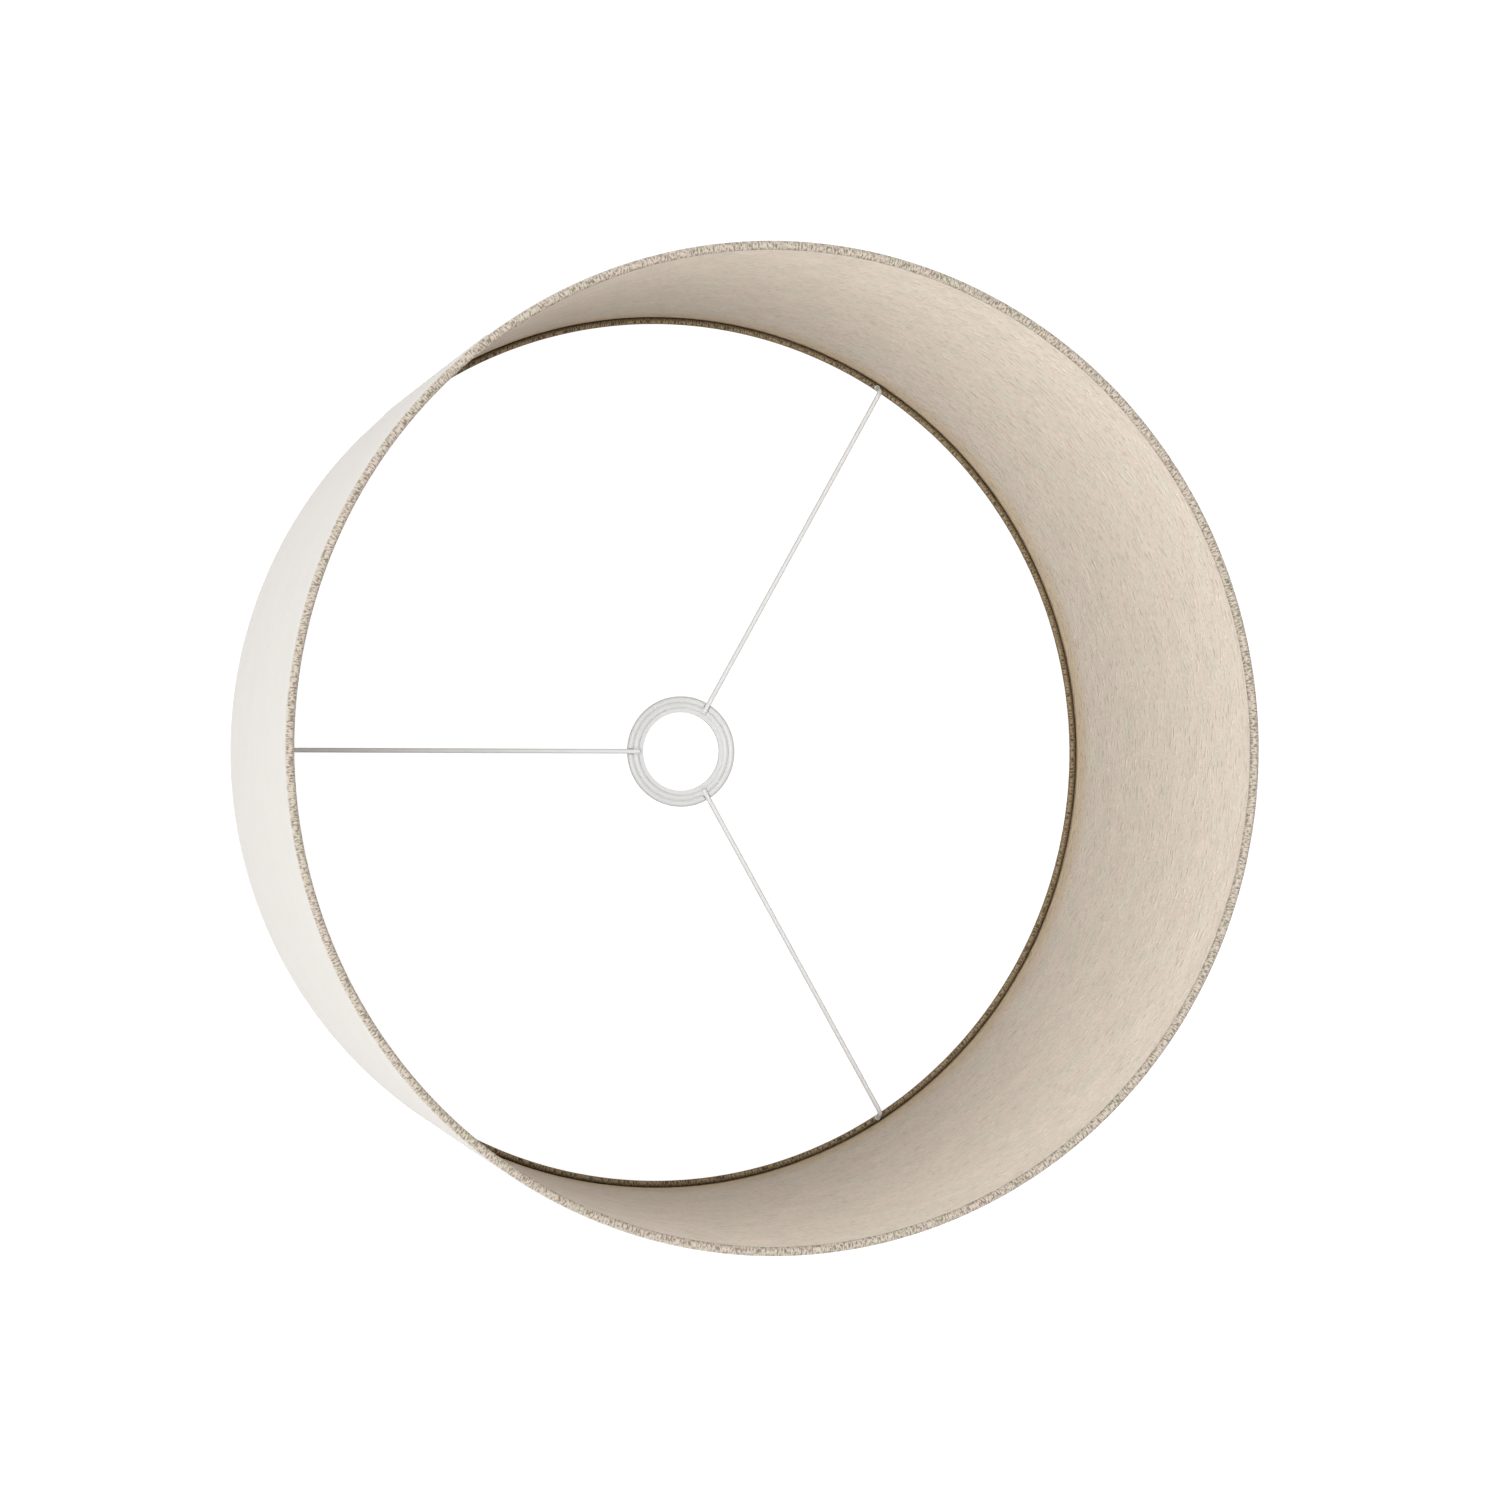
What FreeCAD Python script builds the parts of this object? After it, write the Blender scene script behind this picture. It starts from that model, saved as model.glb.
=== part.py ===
"""Drum lamp shade: linen laminated wall on two wire rings, with a three-armed wire spider.

Units are millimetres. +Z is up, and the shade stands on the rim that carries the spider.
The origin is the centre of that rim's footprint. Spoke 1 points along -Y.
"""
import FreeCAD, Part

import math
import os

# ---- driving dimensions --------------------------------------------------------------------
shade_diameter = 450.0          # outside of the linen wall
shade_height = 225.5            # over both rolled rims
cover_thickness = 0.25          # linen
stiffener_thickness = 0.18      # translucent film that the linen is bonded to
lining_thickness = 0.12         # fine woven face on the inside of the film
ring_wire_diameter = 3.0        # coated wire of the two rims
spoke_wire_diameter = 2.3       # coated wire of the spokes
tuck_angle = 14.0               # where the turned linen ends, between ring and lining

hole_diameter = 40.0            # standard opening for an E27 lamp holder
hub_diameter = 56.2
hub_seat_thickness = 1.0        # from the seat face down to the hub's flat underside
hub_seat_height = 23.6          # seat face of the hub above the resting plane
hub_seat_width = 2.0            # flat seat round the hole
ridge_radius = 23.5             # crest of the inner bead
groove_radius = 25.0            # bottom of the groove between the two beads
lip_radius = 26.3               # crest of the outer bead
bead_height = 0.95
notch_width = 3.1               # gap in the outer bead that each spoke lies in
notch_floor = -0.2              # height of the gap's floor over the seat face

spoke_angles = (-90.0, 30.3, 149.9)     # set by hand on a jig, so not quite even
spoke_start_radius = 22.25      # inner end of each spoke, just outside the seat face
spoke_hub_height = 1.6          # from the seat face to the wire's axis at its inner end
elbow_radius_from_axis = 217.7
elbow_height = 15.3
elbow_bend = 5.0                # centreline bend radius of the elbow
foot_gap = 0.95                 # from the ring's centreline to the end of the foot

foot_weld_radius = 1.4
foot_weld_start = 0.9           # measured along the foot from the ring's centreline
foot_weld_end = 2.4
fabric_slit_radius = 1.45       # clearance hole in the rolled hem round each foot
fabric_slit_start = 0.85
fabric_slit_end = 5.0
hub_weld_radius = 0.55
hub_weld_offset = 1.22          # from the wire's axis to the bead's axis
hub_weld_height = 0.8           # of the bead's axis over the seat face
hub_weld_inner = 22.9
hub_weld_outer = 24.7

seam_angle = -142.0             # free edge of the vertical overlap
seam_overlap = 12.0             # width of the upper layer
seam_ramp = 6.0                 # length over which the upper layer rises off the wall
seam_rise = 0.6                 # height of the upper layer over the wall
tape_thickness = 0.15
tape_width = 10.0
tape_end_gap = 1.0

# ---- derived dimensions --------------------------------------------------------------------
outer_radius = shade_diameter / 2
cover_inner_radius = outer_radius - cover_thickness
stiffener_inner_radius = cover_inner_radius - stiffener_thickness
lining_inner_radius = stiffener_inner_radius - lining_thickness
ring_wire_radius = ring_wire_diameter / 2
spoke_wire_radius = spoke_wire_diameter / 2
wrap_radius = ring_wire_radius + cover_thickness
ring_radius = lining_inner_radius - wrap_radius
hem_inner_radius = ring_radius - wrap_radius
hem_roll = (outer_radius - hem_inner_radius) / 2
hem_centre_radius = outer_radius - hem_roll
lower_ring_height = hem_roll
upper_ring_height = shade_height - hem_roll
hole_radius = hole_diameter / 2
hub_radius = hub_diameter / 2

AXIS = FreeCAD.Vector(0, 0, 1)
CENTRE = FreeCAD.Vector(0, 0, 0)


def section_point(radius, height):
    """A point in the half plane through the axis and +X."""
    return FreeCAD.Vector(radius, 0, height)


def line(start, end):
    return Part.LineSegment(section_point(*start), section_point(*end)).toShape()


def arc(start, middle, end):
    return Part.Arc(section_point(*start), section_point(*middle), section_point(*end)).toShape()


def on_circle(centre, radius, degrees):
    angle = math.radians(degrees)
    return (centre[0] + radius * math.cos(angle), centre[1] + radius * math.sin(angle))


def revolve(edges):
    """A full turn of a closed section about the axis."""
    return Part.Face(Part.Wire(edges)).revolve(CENTRE, AXIS, 360)


def turned(shape, degrees):
    copy = shape.copy()
    copy.rotate(CENTRE, AXIS, degrees)
    return copy


# ---- wall ----------------------------------------------------------------------------------
def hem_edges(side):
    """The linen of one rim, from the outside of the wall right round the ring.

    It ends between the ring and the lining. side is -1 at the lower rim and +1 at the upper
    rim; heights grow away from the rim.
    """
    base = lower_ring_height if side < 0 else upper_ring_height

    def place(point):
        return (point[0], base - side * point[1])

    ring = (ring_radius, 0.0)
    wall_outside = (outer_radius, 0.0)
    roll_low = (hem_centre_radius, -hem_roll)
    hem_inside = (hem_inner_radius, 0.0)
    tuck_outer = on_circle(ring, wrap_radius, tuck_angle)
    tuck_inner = on_circle(ring, ring_wire_radius, tuck_angle)
    wire_inside = on_circle(ring, ring_wire_radius, 180)
    film_foot = on_circle(ring, ring_wire_radius, 0)
    wall_inside = (cover_inner_radius, 0.0)
    return [
        arc(place(wall_outside), place(roll_low), place(hem_inside)),
        arc(place(hem_inside), place(on_circle(ring, wrap_radius, 90)), place(tuck_outer)),
        line(place(tuck_outer), place(tuck_inner)),
        arc(place(tuck_inner), place(on_circle(ring, ring_wire_radius, 90)), place(wire_inside)),
        arc(place(wire_inside), place(on_circle(ring, ring_wire_radius, 270)), place(film_foot)),
        line(place(film_foot), place(wall_inside)),
    ]


def arc_strip(inner, outer, width, ramp, low, high):
    """A curved strip on the wall: its free edge is at the seam angle, and it may end in a ramp."""
    full = math.radians(seam_angle)
    flat_end = full + width / outer_radius
    ramp_end = flat_end + ramp / outer_radius

    def spot(radius, angle):
        return FreeCAD.Vector(radius * math.cos(angle), radius * math.sin(angle), low)

    edges = [
        Part.LineSegment(spot(inner, full), spot(outer, full)).toShape(),
        Part.Arc(spot(outer, full), spot(outer, (full + flat_end) / 2), spot(outer, flat_end)).toShape(),
        Part.LineSegment(spot(outer, flat_end), spot(inner, ramp_end)).toShape(),
        Part.Arc(spot(inner, ramp_end), spot(inner, (full + ramp_end) / 2), spot(inner, full)).toShape(),
    ]
    return Part.Face(Part.Wire(edges)).extrude(FreeCAD.Vector(0, 0, high - low))


def make_seam_tape():
    low = lower_ring_height + tape_end_gap
    high = upper_ring_height - tape_end_gap
    return arc_strip(outer_radius, outer_radius + tape_thickness, tape_width, 0.0, low, high)


def make_cover(tape, foot_slits):
    """Linen wall with both margins rolled round the rings, and the overlap at the seam."""
    lower = hem_edges(-1)
    upper = hem_edges(1)
    outside = line((outer_radius, lower_ring_height), (outer_radius, upper_ring_height))
    inside = line((cover_inner_radius, lower_ring_height), (cover_inner_radius, upper_ring_height))
    wall = revolve(lower + [inside] + upper[::-1] + [outside])
    flap_root = outer_radius - cover_thickness / 2
    flap_face = outer_radius + seam_rise
    flap = arc_strip(flap_root, flap_face, seam_overlap, seam_ramp, lower_ring_height, upper_ring_height)
    wall = wall.fuse(flap).cut(tape)
    for slit in foot_slits:
        wall = wall.cut(slit)
    return wall.removeSplitter()


def make_wall_layer(outer, inner):
    height = upper_ring_height - lower_ring_height
    base = FreeCAD.Vector(0, 0, lower_ring_height)
    return Part.makeCylinder(outer, height, base).cut(Part.makeCylinder(inner, height, base))


# ---- frame ---------------------------------------------------------------------------------
def make_ring(height):
    return Part.makeTorus(ring_radius, ring_wire_radius, FreeCAD.Vector(0, 0, height), AXIS)


def foot_direction():
    """Unit vector from the lower ring's centreline up along the foot to the elbow."""
    run = FreeCAD.Vector(elbow_radius_from_axis - ring_radius, 0, elbow_height - lower_ring_height)
    return run.normalize()


def foot_cylinder(radius, start, end):
    ring_point = section_point(ring_radius, lower_ring_height)
    direction = foot_direction()
    return Part.makeCylinder(radius, end - start, ring_point + direction * start, direction)


def spoke_wire_path():
    start = section_point(spoke_start_radius, hub_seat_height + spoke_hub_height)
    elbow = section_point(elbow_radius_from_axis, elbow_height)
    end = section_point(ring_radius, lower_ring_height) + foot_direction() * foot_gap
    along = (elbow - start).normalize()
    down = (end - elbow).normalize()
    turn = along.getAngle(down)
    setback = elbow_bend * math.tan(turn / 2)
    bend_start = elbow - along * setback
    bend_end = elbow + down * setback
    inward = (down - along).normalize()
    bend_middle = elbow + inward * (elbow_bend / math.cos(turn / 2) - elbow_bend)
    path = Part.Wire([
        Part.LineSegment(start, bend_start).toShape(),
        Part.Arc(bend_start, bend_middle, bend_end).toShape(),
        Part.LineSegment(bend_end, end).toShape(),
    ])
    return path, start, along


def make_spoke(lower_ring):
    path, start, along = spoke_wire_path()
    section = Part.Wire(Part.Circle(start, along, spoke_wire_radius).toShape())
    return path.makePipeShell([section], True, False).cut(lower_ring)


def make_foot_weld(lower_ring, spoke):
    return foot_cylinder(foot_weld_radius, foot_weld_start, foot_weld_end).cut(lower_ring).cut(spoke)


def make_hub(spokes):
    """Flat-backed ring: a seat round the hole, two round beads, and a notch for each spoke."""
    top = hub_seat_height
    under = top - hub_seat_thickness
    seat_edge = hole_radius + hub_seat_width
    crest = top + bead_height
    section = [
        line((hole_radius, under), (hole_radius, top)),
        line((hole_radius, top), (seat_edge, top)),
        arc((seat_edge, top), (ridge_radius, crest), (groove_radius, top + 0.1)),
        arc((groove_radius, top + 0.1), (lip_radius, crest), (hub_radius, top - 0.3)),
        line((hub_radius, top - 0.3), (hub_radius, under)),
        line((hub_radius, under), (hole_radius, under)),
    ]
    hub = revolve(section)
    notch_length = hub_radius - groove_radius + 2.0
    corner = FreeCAD.Vector(groove_radius - 0.5, -notch_width / 2, top + notch_floor)
    notch = Part.makeBox(notch_length, notch_width, 2.0, corner)
    for angle in spoke_angles:
        hub = hub.cut(turned(notch, angle))
    for spoke in spokes:
        hub = hub.cut(spoke)
    return hub


def make_hub_welds(spoke):
    """Two fillets that hold the end of one spoke to the inner bead."""
    length = hub_weld_outer - hub_weld_inner
    height = hub_seat_height + hub_weld_height
    fillets = []
    for side in (-1, 1):
        start = FreeCAD.Vector(hub_weld_inner, side * hub_weld_offset, height)
        end = FreeCAD.Vector(hub_weld_outer, side * hub_weld_offset, height)
        bead = Part.makeCylinder(hub_weld_radius, length, start, FreeCAD.Vector(1, 0, 0))
        bead = bead.fuse(Part.makeSphere(hub_weld_radius, start))
        bead = bead.fuse(Part.makeSphere(hub_weld_radius, end))
        fillets.append(bead.removeSplitter().cut(spoke))
    return fillets


# ---- assembly ------------------------------------------------------------------------------
def build():
    lower_ring = make_ring(lower_ring_height)
    upper_ring = make_ring(upper_ring_height)
    plain_spoke = make_spoke(lower_ring)
    plain_foot_weld = make_foot_weld(lower_ring, plain_spoke)
    plain_slit = foot_cylinder(fabric_slit_radius, fabric_slit_start, fabric_slit_end)
    spokes = [turned(plain_spoke, angle) for angle in spoke_angles]
    hub = make_hub(spokes)
    hub_welds = []
    for angle in spoke_angles:
        for fillet in make_hub_welds(plain_spoke):
            hub_welds.append(turned(fillet, angle).cut(hub))
    foot_welds = [turned(plain_foot_weld, angle) for angle in spoke_angles]
    tape = make_seam_tape()

    parts = {
        "cover_fabric": make_cover(tape, [turned(plain_slit, angle) for angle in spoke_angles]),
        "stiffener_sheet": make_wall_layer(cover_inner_radius, stiffener_inner_radius),
        "lining_fabric": make_wall_layer(stiffener_inner_radius, lining_inner_radius),
        "seam_tape": tape,
        "upper_ring": upper_ring,
        "lower_ring": lower_ring,
        "hub_ring": hub,
        "hub_welds": Part.makeCompound(hub_welds),
        "foot_welds": Part.makeCompound(foot_welds),
    }
    for number, spoke in enumerate(spokes, start=1):
        parts["spoke_%d" % number] = spoke
    return parts


def main():
    os.makedirs("parts", exist_ok=True)
    for name, shape in build().items():
        box = shape.BoundBox
        print("%-16s solids %d valid %s volume %.1f z %.3f..%.3f x %.2f..%.2f y %.2f..%.2f" % (
            name, len(shape.Solids), shape.isValid(), shape.Volume,
            box.ZMin, box.ZMax, box.XMin, box.XMax, box.YMin, box.YMax))
        shape.exportStep("parts/%s.step" % name)


main()
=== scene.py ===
"""Drum lamp shade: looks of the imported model, in metres, in the CAD frame (+Z up)."""
import math

import bpy
from mathutils import Matrix, Vector, noise


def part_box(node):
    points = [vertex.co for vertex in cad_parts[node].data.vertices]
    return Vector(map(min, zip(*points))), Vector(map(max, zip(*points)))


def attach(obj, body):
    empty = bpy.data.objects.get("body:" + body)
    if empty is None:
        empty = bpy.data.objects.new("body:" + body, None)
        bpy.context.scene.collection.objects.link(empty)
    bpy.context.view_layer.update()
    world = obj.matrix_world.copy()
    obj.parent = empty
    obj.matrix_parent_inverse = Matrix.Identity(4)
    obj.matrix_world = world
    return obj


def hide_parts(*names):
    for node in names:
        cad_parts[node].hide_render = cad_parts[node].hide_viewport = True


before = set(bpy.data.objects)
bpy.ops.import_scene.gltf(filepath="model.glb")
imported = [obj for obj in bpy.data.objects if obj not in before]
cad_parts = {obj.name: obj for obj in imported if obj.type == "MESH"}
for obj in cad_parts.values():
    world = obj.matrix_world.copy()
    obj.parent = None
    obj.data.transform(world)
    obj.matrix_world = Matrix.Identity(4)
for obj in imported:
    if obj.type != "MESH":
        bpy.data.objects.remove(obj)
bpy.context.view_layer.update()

MM = 0.001

# ---- sizes read from the frame -------------------------------------------------------------
cover_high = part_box("cover_fabric")[1]
ring_low, ring_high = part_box("upper_ring")
lower_ring_low, lower_ring_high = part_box("lower_ring")
film_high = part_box("stiffener_sheet")[1]
lining_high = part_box("lining_fabric")[1]

outer_radius = cover_high.x
shade_height = cover_high.z
cover_inner_radius = film_high.x
lining_outer_radius = lining_high.x
cloth_thickness = outer_radius - cover_inner_radius
lining_inner_radius = ring_high.x + cloth_thickness     # the turned cloth lies between the two
wire_radius = (ring_high.z - ring_low.z) / 2
ring_radius = ring_high.x - wire_radius
upper_ring_height = (ring_high.z + ring_low.z) / 2
lower_ring_height = (lower_ring_high.z + lower_ring_low.z) / 2
wrap_radius = wire_radius + cloth_thickness
hem_inner_radius = ring_radius - wrap_radius
hem_roll = (outer_radius - hem_inner_radius) / 2

# ---- cloth and seam ------------------------------------------------------------------------
AROUND = 1440                   # columns round the drum
WALL_ROWS = 48                  # rows of the cover between the two rings, outside
WALL_ROWS_INSIDE = 12
LINING_ROWS = 60
TURN_POINTS = 24                # of the arc round a ring, on the drum's inner side
ROLL_POINTS = 30                # of the arc of the rolled rim, and of the arc inside it
TUCK_ANGLE = 14                 # degrees round the ring at which the turned cloth ends
seam_angle = math.radians(-142.0)
seam_overlap = 12 * MM
seam_ramp = 6 * MM              # over which the upper layer comes down to the wall
seam_rise = 0.6 * MM
seam_share_on_roll = 0.35       # of seam_rise, where the cloth goes round a ring
seam_settles = 6 * MM           # height from a ring at which the seam has its full rise
hem_settles = 1.5 * MM          # height from a ring at which the lumps of the roll end
lining_stand_off = 0.12 * MM    # of the lining's face, off its nominal radius

# ---- camera --------------------------------------------------------------------------------
CAMERA_PLACE = Vector((0.01362, -0.37523, 1.46843))
CAMERA_FORWARD = Vector((-0.00968, 0.27397, -0.96169))
CAMERA_RIGHT = Vector((-0.00151, 0.96173, 0.27400))
CAMERA_LENS = 70.35
SENSOR_WIDTH = 36.0

# ---- light and floor -----------------------------------------------------------------------
SKY_STRENGTH = 0.25             # from straight above, and from +Y and -Y
SKY_SIDES = 1.85                # added in full towards +X and -X at the horizon
GROUND_STRENGTH = 0.17          # from under the horizon
KEY_TARGET = (0, 0, 0.1)
KEY_SIZE = 2.2
KEY_LOW = ((0.5, -3.0, 2.6), 50.5)      # place and power
KEY_HIGH = ((0.3, -1.7, 3.6), 79.0)
FLOOR_HALF = 4.0
FLOOR_HEIGHT = -0.15 * MM       # under the lowest lumps of the hem
FLOOR_GLOW = 0.94
FLOOR_TINT = (0.15, 0.15, 0.15)


# ---- camera, light and floor ---------------------------------------------------------------
def add_camera():
    data = bpy.data.cameras.new("camera")
    data.lens = CAMERA_LENS
    data.sensor_width = SENSOR_WIDTH
    camera = bpy.data.objects.new("camera", data)
    bpy.context.scene.collection.objects.link(camera)
    forward = CAMERA_FORWARD.normalized()
    up = CAMERA_RIGHT.cross(forward).normalized()
    right = forward.cross(up)
    turn = Matrix((right, up, -forward)).transposed()
    camera.matrix_world = Matrix.Translation(CAMERA_PLACE) @ turn.to_4x4()
    bpy.context.scene.camera = camera


def add_key_light(name, place, power):
    data = bpy.data.lights.new(name, "AREA")
    data.shape = "DISK"
    data.size = KEY_SIZE
    data.energy = power
    light = bpy.data.objects.new(name, data)
    bpy.context.scene.collection.objects.link(light)
    light.location = place
    towards = Vector(KEY_TARGET) - Vector(place)
    light.rotation_euler = towards.to_track_quat("-Z", "Y").to_euler()


def add_world():
    """White sky, stronger towards +X and -X, over a dimmer ground."""
    world = bpy.data.worlds.new("studio")
    bpy.context.scene.world = world
    world.use_nodes = True
    tree = world.node_tree
    background = tree.nodes["Background"]
    background.inputs["Color"].default_value = (1.0, 1.0, 1.0, 1.0)

    def calculate(operation, first, second):
        node = tree.nodes.new("ShaderNodeMath")
        node.operation = operation
        for socket, value in zip(node.inputs, (first, second)):
            if hasattr(value, "is_output"):
                tree.links.new(value, socket)
            else:
                socket.default_value = value
        return node.outputs[0]

    direction = tree.nodes.new("ShaderNodeTexCoord").outputs["Generated"]
    parts = tree.nodes.new("ShaderNodeSeparateXYZ")
    tree.links.new(direction, parts.inputs[0])
    sideways = calculate("ABSOLUTE", parts.outputs["X"], 0.0)
    sides = calculate("MULTIPLY", sideways, SKY_SIDES)
    sky = calculate("ADD", sides, SKY_STRENGTH - GROUND_STRENGTH)
    above = calculate("GREATER_THAN", parts.outputs["Z"], 0.0)
    strength = calculate("ADD", calculate("MULTIPLY", sky, above), GROUND_STRENGTH)
    tree.links.new(strength, background.inputs["Strength"])


def add_floor():
    """Plain white floor; its light is not thrown on the shade."""
    mesh = bpy.data.meshes.new("floor")
    signs = [(-1, -1), (1, -1), (1, 1), (-1, 1)]
    corners = [(x * FLOOR_HALF, y * FLOOR_HALF, FLOOR_HEIGHT) for x, y in signs]
    mesh.from_pydata(corners, [], [(0, 1, 2, 3)])
    floor = bpy.data.objects.new("floor", mesh)
    bpy.context.scene.collection.objects.link(floor)
    floor.visible_diffuse = False
    floor.visible_glossy = False
    material = bpy.data.materials.new("floor")
    material.use_nodes = True
    shader = material.node_tree.nodes["Principled BSDF"]
    shader.inputs["Base Color"].default_value = (*FLOOR_TINT, 1.0)
    shader.inputs["Roughness"].default_value = 0.9
    shader.inputs["Specular IOR Level"].default_value = 0.0
    shader.inputs["Emission Color"].default_value = (1.0, 1.0, 1.0, 1.0)
    shader.inputs["Emission Strength"].default_value = FLOOR_GLOW
    mesh.materials.append(material)


# ---- shader helpers ------------------------------------------------------------------------
class Shader:
    """A material with one Principled shader and short calls that add nodes to it."""

    def __init__(self, name):
        self.material = bpy.data.materials.new(name)
        self.material.use_nodes = True
        self.tree = self.material.node_tree
        self.main = self.tree.nodes["Principled BSDF"]

    def node(self, kind, **settings):
        made = self.tree.nodes.new("ShaderNode" + kind)
        for name, value in settings.items():
            setattr(made, name, value)
        return made

    def feed(self, socket, value):
        if hasattr(value, "is_output"):
            self.tree.links.new(value, socket)
        else:
            socket.default_value = value

    def math(self, operation, first, second=0.0, third=0.0):
        made = self.node("Math", operation=operation)
        for socket, value in zip(made.inputs, (first, second, third)):
            self.feed(socket, value)
        return made.outputs[0]

    def ramp(self, value, low, high, to_low=0.0, to_high=1.0):
        made = self.node("MapRange", interpolation_type="SMOOTHSTEP")
        for socket, amount in zip(made.inputs, (value, low, high, to_low, to_high)):
            self.feed(socket, amount)
        return made.outputs[0]

    def mix(self, factor, first, second):
        made = self.node("Mix", data_type="RGBA")
        colour_inputs = [socket for socket in made.inputs if socket.type == "RGBA"]
        self.feed(made.inputs[0], factor)
        self.feed(colour_inputs[0], first)
        self.feed(colour_inputs[1], second)
        return [socket for socket in made.outputs if socket.type == "RGBA"][0]

    def scale_colour(self, colour, factor):
        made = self.node("VectorMath", operation="SCALE")
        self.feed(made.inputs[0], colour)
        self.feed(made.inputs["Scale"], factor)
        return made.outputs[0]

    def tint(self, colour, other):
        made = self.node("VectorMath", operation="MULTIPLY")
        self.feed(made.inputs[0], colour)
        made.inputs[1].default_value = other
        return made.outputs[0]

    def stretched(self, vector, size_u, size_v, offset=0.0):
        """Coordinates in which one unit is size_u on the first axis and size_v on the second."""
        made = self.node("Mapping")
        self.feed(made.inputs["Vector"], vector)
        made.inputs["Scale"].default_value = (1 / size_u, 1 / size_v, 1.0)
        made.inputs["Location"].default_value = (offset, 1.7 * offset, offset)
        return made.outputs[0]

    def noise(self, vector, detail=2.0, roughness=0.5):
        made = self.node("TexNoise")
        self.feed(made.inputs["Vector"], vector)
        made.inputs["Scale"].default_value = 1.0
        made.inputs["Detail"].default_value = detail
        made.inputs["Roughness"].default_value = roughness
        return made.outputs[0]

    def bump(self, height, distance, strength):
        made = self.node("Bump")
        made.inputs["Strength"].default_value = strength
        made.inputs["Distance"].default_value = distance
        self.feed(made.inputs["Height"], height)
        return made.outputs[0]


# ---- materials -----------------------------------------------------------------------------
WALL_LINEN = (0.79, 0.757, 0.715)
# The rolled rims are painted darker than the wall: painted shade for the light that comes
# through the wall but not through the rims, and in the gaps between the loops.
HEM_PALE = (0.435, 0.39, 0.32, 1.0)             # loops on the upper roll, in two hues
HEM_PINK = (0.45, 0.385, 0.33, 1.0)
HEM_STROKE_AND_SHADE = (0.17, 0.145, 0.11, 1.0)           # gaps between the loops
# The lower roll is a darker copy of the same cloth: painted shade on the rim that stands on the
# floor.
LOWER_ROLL_SHADED = (0.30, 0.23, 0.14, 1.0)
LOWER_ROLL_SHADED_STROKE = (0.065, 0.045, 0.022, 1.0)
# Painted crevice shadow where the cloth goes in under a ring, and how much of it each roll gets.
HEM_TUCK_SHADE = (0.055, 0.036, 0.016, 1.0)           # where the cloth goes in under the ring
TUCK_SHADE_ON_UPPER = 0.25                            # share of HEM_TUCK_SHADE on each roll
TUCK_SHADE_ON_LOWER = 0.85
LINING_COOL = (0.676, 0.620, 0.526, 1.0)
LINING_WARM = (0.703, 0.613, 0.536, 1.0)
# Painted shade on the lining by the lower ring: darker and warmer, fading out upwards.
LINING_SHADE_BY_LOWER_RING = (0.91, 0.81, 0.65)            # times the lining's colour at the lower ring
LINING_SHADE_FADE = 26 * MM                           # height over which that tint fades out
SPIDER_WHITE = (0.69, 0.70, 0.71)
# The hub's white is a darker copy of the spider's coat: painted shade on its lips.
HUB_WHITE_SHADED = (0.62, 0.63, 0.64)
RING_WHITE = (0.78, 0.78, 0.76)
FILM_WHITE = (0.86, 0.83, 0.77)
TAPE_WHITE = (0.80, 0.77, 0.70)


def cloth_coordinates(shader):
    """The cloth UV in metres, and its V alone: U is round the drum, V along the section."""
    made = shader.node("UVMap")
    made.uv_map = "cloth"
    split = shader.node("SeparateXYZ")
    shader.feed(split.inputs[0], made.outputs[0])
    return made.outputs[0], split.outputs[1]


def threads(shader, cloth):
    """Fine weave: weft that runs round the drum and warp that runs up it, each uneven."""
    weft = shader.noise(shader.stretched(cloth, 14 * MM, 0.55 * MM), 1.0)
    warp = shader.noise(shader.stretched(cloth, 0.6 * MM, 9 * MM, 31.0), 1.0)
    weft_share = shader.math("MULTIPLY", weft, 0.55)
    warp_share = shader.math("MULTIPLY", warp, 0.45)
    return shader.math("ADD", weft_share, warp_share)


def slubs(shader, cloth, offset, length, width, low, high):
    """Sparse thick stretches of single threads, length round the drum and width up it."""
    field = shader.noise(shader.stretched(cloth, length, width, offset), 1.0)
    return shader.ramp(field, low, high)


def weighted(shader, start, *terms):
    """start plus each value times its weight."""
    total = start
    for value, weight in terms:
        total = shader.math("MULTIPLY_ADD", value, weight, total)
    return total


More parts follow.
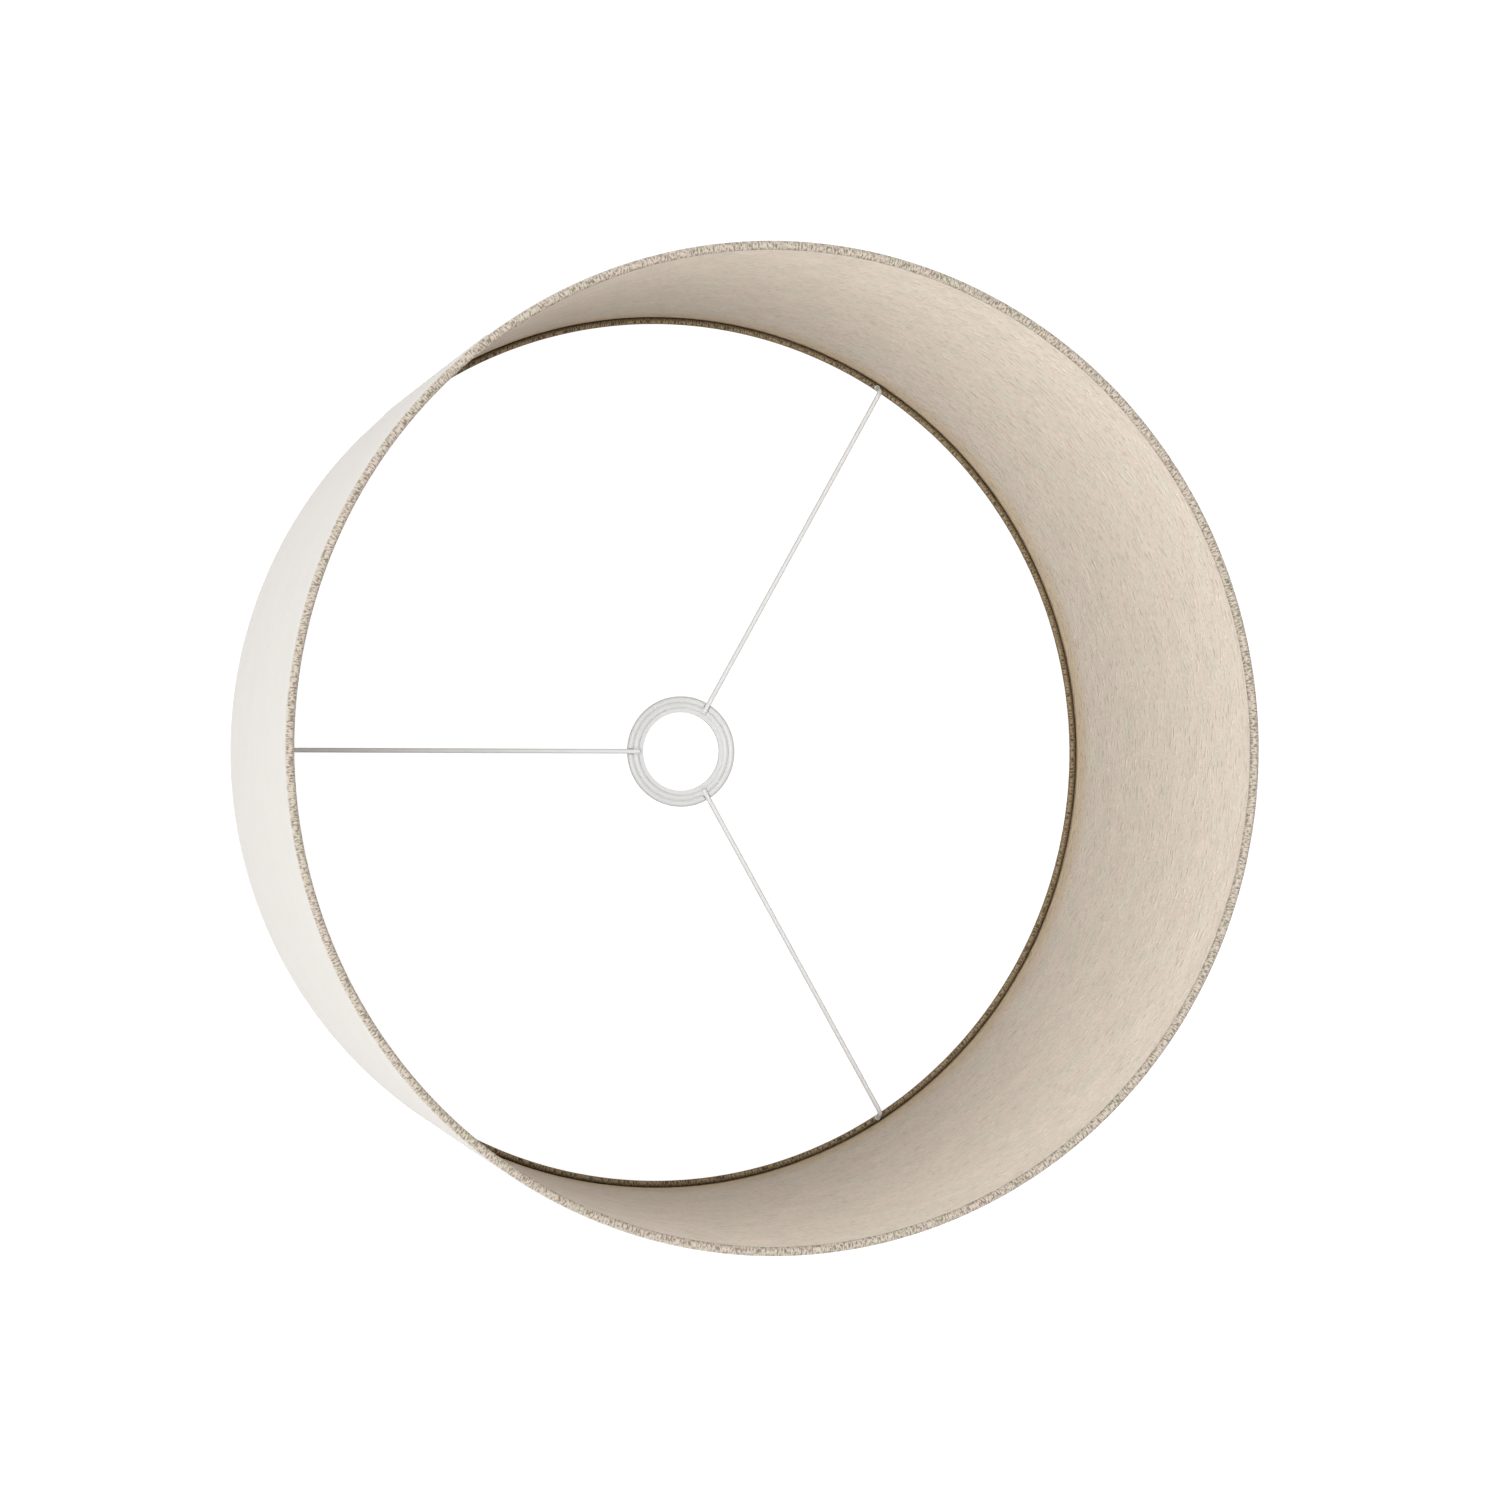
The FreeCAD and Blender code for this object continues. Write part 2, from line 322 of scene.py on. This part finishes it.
def make_cover_material():
    """Pale linen wall, with the looped threads of the rolled rims, which painted shade makes
    darker.
    """
    shader = Shader("linen_cover")
    cloth, along = cloth_coordinates(shader)
    weave = threads(shader, cloth)
    dark_slubs = slubs(shader, cloth, 7.0, 9 * MM, 0.7 * MM, 0.62, 0.78)
    patches = shader.noise(shader.stretched(cloth, 30 * MM, 24 * MM, 3.0), 2.0)
    tone = weighted(shader, 0.925, (weave, 0.10), (patches, 0.05), (dark_slubs, -0.045))
    wall = shader.scale_colour(WALL_LINEN, tone)

    # The rolled rims: hem is 1 on them, and tuck is 1 where the cloth goes in under a ring,
    # where a painted crevice shadow darkens the roll.
    middle = shade_height / 2
    from_middle = shader.math("ABSOLUTE", shader.math("SUBTRACT", along, middle))
    hem_starts = middle - lower_ring_height
    hem_ends = hem_starts + math.pi * (hem_roll + wrap_radius)
    hem = shader.ramp(from_middle, hem_starts - 0.3 * MM, hem_starts + 2.0 * MM)
    tuck = shader.ramp(from_middle, hem_ends - 4.2 * MM, hem_ends - 1.0 * MM)
    lower = shader.math("LESS_THAN", along, middle)

    # Threads that cross the roll show as short dark strokes between paler loops; the strokes are
    # partly painted shade in the gaps between the loops.
    strokes = shader.noise(shader.stretched(cloth, 0.75 * MM, 2.2 * MM, 19.0), 1.5, 0.6)
    groups = shader.noise(shader.stretched(cloth, 6 * MM, 4 * MM, 37.0), 1.0)
    fuzz = shader.noise(shader.stretched(cloth, 0.5 * MM, 0.5 * MM, 11.0), 2.0, 0.6)
    loops = weighted(shader, -0.10, (strokes, 0.85), (groups, 0.12), (fuzz, 0.23))
    pale = shader.ramp(loops, 0.38, 0.57)
    drift = shader.noise(shader.stretched(cloth, 16 * MM, 16 * MM, 23.0), 2.0)
    loop_colour = shader.mix(shader.ramp(drift, 0.35, 0.65), HEM_PALE, HEM_PINK)
    upper_roll = shader.mix(pale, HEM_STROKE_AND_SHADE, loop_colour)
    # The lower roll gets the darker colours: painted shade.
    shaded_lower_roll = shader.mix(pale, LOWER_ROLL_SHADED_STROKE, LOWER_ROLL_SHADED)
    roll = shader.mix(lower, upper_roll, shaded_lower_roll)
    tuck_shade_share = weighted(shader, TUCK_SHADE_ON_UPPER, (lower, TUCK_SHADE_ON_LOWER - TUCK_SHADE_ON_UPPER))
    # Painted crevice shadow where the cloth goes in under each ring, strongest on the lower
    # roll.
    roll = shader.mix(shader.math("MULTIPLY", tuck, tuck_shade_share), roll, HEM_TUCK_SHADE)
    shader.feed(shader.main.inputs["Base Color"], shader.mix(hem, wall, roll))

    height = weighted(shader, weave, (shader.math("MULTIPLY", loops, hem), 1.6))
    shader.feed(shader.main.inputs["Normal"], shader.bump(height, 0.25 * MM, 0.7))
    shader.main.inputs["Roughness"].default_value = 0.92
    shader.main.inputs["Specular IOR Level"].default_value = 0.2
    shader.main.inputs["Sheen Weight"].default_value = 0.08
    shader.main.inputs["Sheen Roughness"].default_value = 0.5
    return shader.material


def make_lining_material():
    """Woven inner face: slubs and nubs of many sizes, with painted shade, warmer and darker, by
    the lower ring.
    """
    shader = Shader("linen_lining")
    cloth, along = cloth_coordinates(shader)
    weave = threads(shader, cloth)
    dark_slubs = slubs(shader, cloth, 5.0, 6 * MM, 1.9 * MM, 0.57, 0.72)
    dark_nubs = slubs(shader, cloth, 71.0, 2.0 * MM, 1.9 * MM, 0.61, 0.74)
    pale_slubs = slubs(shader, cloth, 43.0, 4.5 * MM, 2.1 * MM, 0.58, 0.73)
    patches = shader.noise(shader.stretched(cloth, 20 * MM, 12 * MM, 3.0), 4.0, 0.65)
    grain = shader.noise(shader.stretched(cloth, 2.8 * MM, 2.2 * MM, 67.0), 2.0, 0.65)
    tone = weighted(
        shader, 0.65, (weave, 0.17), (patches, 0.27), (grain, 0.26),
        (dark_slubs, -0.13), (dark_nubs, -0.12), (pale_slubs, 0.10),
    )
    hue = shader.noise(shader.stretched(cloth, 20 * MM, 14 * MM, 51.0), 1.5)
    base = shader.mix(shader.ramp(hue, 0.3, 0.7), LINING_COOL, LINING_WARM)
    base = shader.scale_colour(base, tone)
    height_up = shader.math("SUBTRACT", shade_height, along)        # V runs down the lining
    # Painted shade: the lining darkens and warms towards the lower ring.
    above_lining_shade = shader.ramp(height_up, lower_ring_height, lower_ring_height + LINING_SHADE_FADE)
    base = shader.mix(above_lining_shade, shader.tint(base, LINING_SHADE_BY_LOWER_RING), base)
    shader.feed(shader.main.inputs["Base Color"], base)
    height = weighted(shader, weave, (dark_slubs, 0.8), (pale_slubs, 1.0), (grain, 0.8))
    shader.feed(shader.main.inputs["Normal"], shader.bump(height, 0.30 * MM, 0.8))
    shader.main.inputs["Roughness"].default_value = 0.95
    shader.main.inputs["Specular IOR Level"].default_value = 0.15
    return shader.material


def make_coat_material(name, colour, roughness):
    """White powder coat on steel: a fine orange peel and a slightly uneven tone."""
    shader = Shader(name)
    place = shader.node("TexCoord").outputs["Object"]
    peel = shader.noise(shader.stretched(place, 0.5 * MM, 0.5 * MM), 2.0)
    patches = shader.noise(shader.stretched(place, 9 * MM, 9 * MM, 13.0), 2.0)
    tone = shader.math("ADD", shader.math("MULTIPLY", patches, 0.06), 0.97)
    shader.feed(shader.main.inputs["Base Color"], shader.scale_colour(colour, tone))
    shader.feed(shader.main.inputs["Normal"], shader.bump(peel, 0.02 * MM, 0.5))
    shader.main.inputs["Roughness"].default_value = roughness
    shader.main.inputs["Specular IOR Level"].default_value = 0.5
    return shader.material


def make_plastic_material(name, colour, roughness):
    """Film and tape: almost even, with faint streaks up the height in tone and gloss."""
    shader = Shader(name)
    place = shader.node("TexCoord").outputs["Object"]
    streaks = shader.noise(shader.stretched(place, 3 * MM, 3 * MM), 2.0)
    tone = shader.math("ADD", shader.math("MULTIPLY", streaks, 0.05), 0.97)
    shader.feed(shader.main.inputs["Base Color"], shader.scale_colour(colour, tone))
    gloss = shader.ramp(streaks, 0.3, 0.7, roughness - 0.05, roughness + 0.08)
    shader.feed(shader.main.inputs["Roughness"], gloss)
    shader.feed(shader.main.inputs["Normal"], shader.bump(streaks, 0.05 * MM, 0.3))
    return shader.material


# ---- cloth meshes --------------------------------------------------------------------------
def column_angles():
    """Angles of the columns, from the seam's free edge round to just before it again."""
    edge = 0.02 * MM / outer_radius
    turn = math.tau - 2 * edge
    return [seam_angle + edge + turn * i / (AROUND - 1) for i in range(AROUND)]


def seam_lift(angle):
    """How far the upper layer of the seam stands off the wall at an angle."""
    distance = (angle - seam_angle) * outer_radius
    if distance <= seam_overlap:
        return seam_rise
    if distance >= seam_overlap + seam_ramp:
        return 0.0
    fade = (distance - seam_overlap) / seam_ramp
    return seam_rise * (1 - fade) ** 2 * (1 + 2 * fade)


def arc_points(centre_radius, centre_height, radius, start, end, count):
    """Points of an arc in the half plane, from start to end degrees, both included."""
    points = []
    for i in range(count):
        angle = math.radians(start + (end - start) * i / (count - 1))
        across = centre_radius + radius * math.cos(angle)
        points.append((across, centre_height + radius * math.sin(angle)))
    return points


def mirrored(profile):
    """The profile upside down, from the lower ring to the upper one, in the opposite order."""
    return [(r, lower_ring_height + upper_ring_height - z) for r, z in reversed(profile)]


def wall_heights(rows):
    """Heights of the wall's rows between the two rings, without the ends."""
    span = upper_ring_height - lower_ring_height
    return [lower_ring_height + span * i / rows for i in range(1, rows)]


def cover_profile():
    """Section of the cloth, from one tuck round the wall to the other, then back on its inside.

    Returns (radius, height) pairs for the outside and for the inside.
    """
    hem_centre = hem_inner_radius + hem_roll
    base = lower_ring_height
    lower_out = arc_points(ring_radius, base, wrap_radius, TUCK_ANGLE, 180, TURN_POINTS)
    lower_out += arc_points(hem_centre, base, hem_roll, 180, 360, ROLL_POINTS)[1:]
    wall_out = [(outer_radius, height) for height in wall_heights(WALL_ROWS)]
    outside = lower_out + wall_out + mirrored(lower_out)

    lower_in = arc_points(ring_radius, base, wire_radius, TUCK_ANGLE, 360, ROLL_POINTS)
    lower_in.append((cover_inner_radius, base))
    wall_in = [(cover_inner_radius, height) for height in wall_heights(WALL_ROWS_INSIDE)]
    inside = lower_in + wall_in + mirrored(lower_in)
    return outside, inside


def cloth_distances(profile):
    """Distance along the section, set so that the section's middle is at half the height."""
    distances = [0.0]
    for (r0, z0), (r1, z1) in zip(profile, profile[1:]):
        distances.append(distances[-1] + math.hypot(r1 - r0, z1 - z0))
    shift = (distances[-1] - shade_height) / 2
    return [distance - shift for distance in distances]


def unevenness(point, hem):
    """Slight waviness of the wall, and the fuller lumps of the rolled rims."""
    wave = 0.10 * MM * noise.noise(point / (70 * MM))
    wide_lump = 0.10 * MM * noise.noise(point / (11 * MM))
    small_lump = 0.07 * MM * noise.noise(point / (2.4 * MM))
    return wave + hem * (wide_lump + small_lump)


def lathe(name, outside, inside, lift, material, body):
    """A closed cloth shell turned round the axis, with its cloth coordinates as UV.

    lift gives the offset of each point of the outside profile.
    """
    angles = column_angles()
    columns = len(angles)
    section = outside + inside[::-1]
    section_v = cloth_distances(outside) + cloth_distances(inside)[::-1]
    rows = len(section)
    vertices = []
    for angle in angles:
        direction = Vector((math.cos(angle), math.sin(angle), 0))
        for row, (radius, height) in enumerate(section):
            point = direction * radius + Vector((0, 0, height))
            if row < len(outside):
                point += lift(point, angle, direction, radius, height)
            vertices.append(point)
    faces = []
    for column in range(columns):
        start = column * rows
        following = (column + 1) % columns * rows
        for row in range(rows):
            up = (row + 1) % rows
            faces.append((start + row, following + row, following + up, start + up))
    mesh = bpy.data.meshes.new(name)
    mesh.from_pydata(vertices, [], faces)
    uv = mesh.uv_layers.new(name="cloth")
    arc = [(angle - seam_angle) * outer_radius for angle in angles] + [math.tau * outer_radius]
    data = []
    for column in range(columns):
        left, right = arc[column], arc[column + 1]
        for row in range(rows):
            low, high = section_v[row], section_v[(row + 1) % rows]
            data.extend((left, low, right, low, right, high, left, high))
    uv.data.foreach_set("uv", data)
    mesh.polygons.foreach_set("use_smooth", [True] * len(mesh.polygons))
    mesh.materials.append(material)
    piece = bpy.data.objects.new(name, mesh)
    bpy.context.scene.collection.objects.link(piece)
    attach(piece, body)
    return piece


def between(value, low, high):
    return min(max(value, low), high)


def add_cover():
    """The linen wall and its rolled rims, one cloth from tuck to tuck."""
    outside, inside = cover_profile()

    def lift(point, angle, direction, radius, height):
        past_ring = min(height - lower_ring_height, upper_ring_height - height)
        on_wall = between(past_ring / seam_settles, 0.0, 1.0)
        hem = 1.0 - between(past_ring / hem_settles, 0.0, 1.0)
        outward = direction
        if past_ring <= 0:
            outward = Vector((0, 0, -1 if height < shade_height / 2 else 1))
        seam = 0.0
        if radius > ring_radius:
            seam = seam_lift(angle) * (seam_share_on_roll + (1 - seam_share_on_roll) * on_wall)
        return direction * seam + outward * unevenness(point, hem)

    material = make_cover_material()
    cover = lathe("linen_cover", outside, inside, lift, material, "root")
    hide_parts("cover_fabric")


def add_lining():
    """The woven inner face, from ring to ring, with V running down from the upper ring."""
    span = upper_ring_height - lower_ring_height
    heights = [lower_ring_height + span * i / LINING_ROWS for i in range(LINING_ROWS + 1)]
    visible = [(lining_inner_radius, height) for height in reversed(heights)]
    back = [(lining_outer_radius, height) for height in reversed(heights)]

    def lift(point, angle, direction, radius, height):
        wave = 0.12 * MM * noise.noise(point / (60 * MM))
        small_wave = 0.03 * MM * noise.noise(point / (9 * MM))
        return -direction * (lining_stand_off + (wave + small_wave))

    material = make_lining_material()
    lining = lathe("linen_lining", visible, back, lift, material, "root")
    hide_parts("lining_fabric")


# ---- CAD nodes that keep their shape -------------------------------------------------------
def finish_nodes():
    """Coats, film and tape for the pieces that are shown as the CAD model has them."""
    white = make_coat_material("white_coat", SPIDER_WHITE, 0.42)
    # A darker copy of the white coat for the hub and its welds: painted shade.
    hub_coat_shaded = make_coat_material("hub_coat_shaded", HUB_WHITE_SHADED, 0.42)
    ring_coat = make_coat_material("ring_coat", RING_WHITE, 0.5)
    film = make_plastic_material("stiffener_film", FILM_WHITE, 0.5)
    tape = make_plastic_material("adhesive_tape", TAPE_WHITE, 0.35)
    coats = {
        "stiffener_sheet": film,
        "seam_tape": tape,
        "upper_ring": ring_coat,
        "lower_ring": ring_coat,
        "hub_ring": hub_coat_shaded,
        "hub_welds": hub_coat_shaded,
        "foot_welds": white,
        "spoke_1": white,
        "spoke_2": white,
        "spoke_3": white,
    }
    for name, material in coats.items():
        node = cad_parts[name]
        node.data.materials.clear()
        node.data.materials.append(material)


add_camera()
add_world()
add_floor()
add_key_light("key_low", *KEY_LOW)
add_key_light("key_high", *KEY_HIGH)
bpy.context.scene.view_settings.view_transform = "Standard"
add_cover()
add_lining()
finish_nodes()
